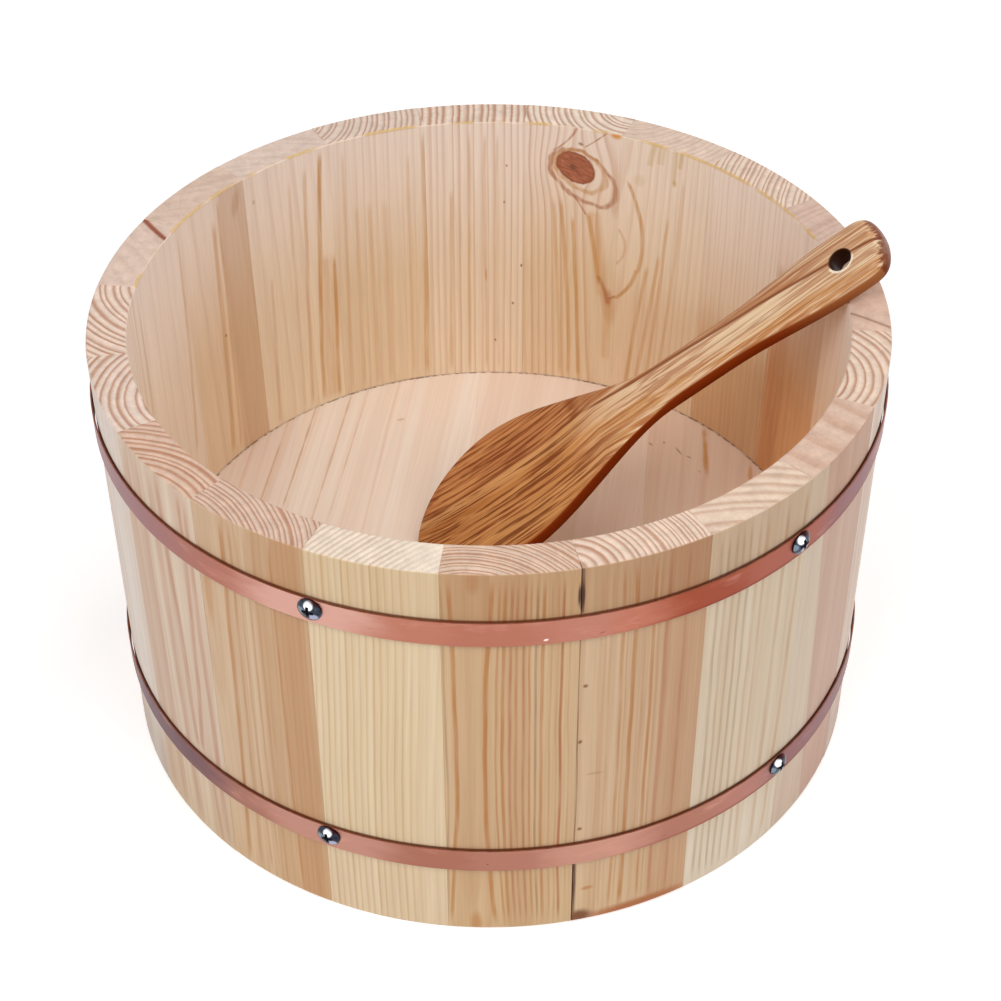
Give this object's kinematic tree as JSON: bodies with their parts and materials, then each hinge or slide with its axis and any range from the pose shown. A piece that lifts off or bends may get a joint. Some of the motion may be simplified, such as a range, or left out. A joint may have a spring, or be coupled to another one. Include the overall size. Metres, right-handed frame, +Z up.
{
  "type": "sushi rice tub",
  "caption": "Coopered wooden rice tub with a planked floor, copper hoops held by screws, and a loose wooden rice paddle leaning on its rim.",
  "frame": {"origin": "on the tub's axis, at the surface that the staves stand on", "axes": "+Z up along the tub's axis, -Y towards the viewer of the picture, +X towards the paddle's handle"},
  "size_m": [0.302, 0.305, 0.2028],
  "materials": {
    "pine": "bare planed pine with tan growth rings",
    "floor_pine": "bare planed pine, pale pink-beige",
    "bamboo": "split bamboo",
    "copper": "satin copper strip",
    "plated_steel": "bright plated steel",
    "hardwood": "oiled striped hardwood, satin"
  },
  "bodies": {
    "tub": {"stave_01": "pine", "stave_02": "pine", "stave_03": "pine", "stave_04": "pine", "stave_05": "pine", "stave_06": "pine", "stave_07": "pine", "stave_08": "pine", "stave_09": "pine", "stave_10": "pine", "stave_11": "pine", "stave_12": "pine", "stave_13": "pine", "stave_14": "pine", "stave_15": "pine", "stave_16": "pine", "stave_17": "pine", "stave_18": "pine", "stave_19": "pine", "stave_20": "pine", "stave_peg_01": "bamboo", "stave_peg_02": "bamboo", "stave_peg_03": "bamboo", "stave_peg_04": "bamboo", "stave_peg_05": "bamboo", "stave_peg_06": "bamboo", "stave_peg_07": "bamboo", "stave_peg_08": "bamboo", "stave_peg_09": "bamboo", "stave_peg_10": "bamboo", "stave_peg_11": "bamboo", "stave_peg_12": "bamboo", "stave_peg_13": "bamboo", "stave_peg_14": "bamboo", "stave_peg_15": "bamboo", "stave_peg_16": "bamboo", "stave_peg_17": "bamboo", "stave_peg_18": "bamboo", "stave_peg_19": "bamboo", "stave_peg_20": "bamboo", "floor_plank_1": "floor_pine", "floor_plank_2": "floor_pine", "floor_plank_3": "floor_pine", "floor_plank_4": "floor_pine", "upper_hoop": "copper", "lower_hoop": "copper", "upper_hoop_screw_1": "plated_steel", "upper_hoop_screw_2": "plated_steel", "upper_hoop_screw_3": "plated_steel", "upper_hoop_screw_4": "plated_steel", "upper_hoop_screw_5": "plated_steel", "lower_hoop_screw_1": "plated_steel", "lower_hoop_screw_2": "plated_steel", "lower_hoop_screw_3": "plated_steel", "lower_hoop_screw_4": "plated_steel", "lower_hoop_screw_5": "plated_steel"},
    "paddle": {"rice_paddle": "hardwood"}
  },
  "joints": [
    {"name": "paddle_lift", "type": "slide", "parent": "tub", "child": "paddle", "axis": [0, 0, 1], "range_m": [0, 0.16]}
  ]
}
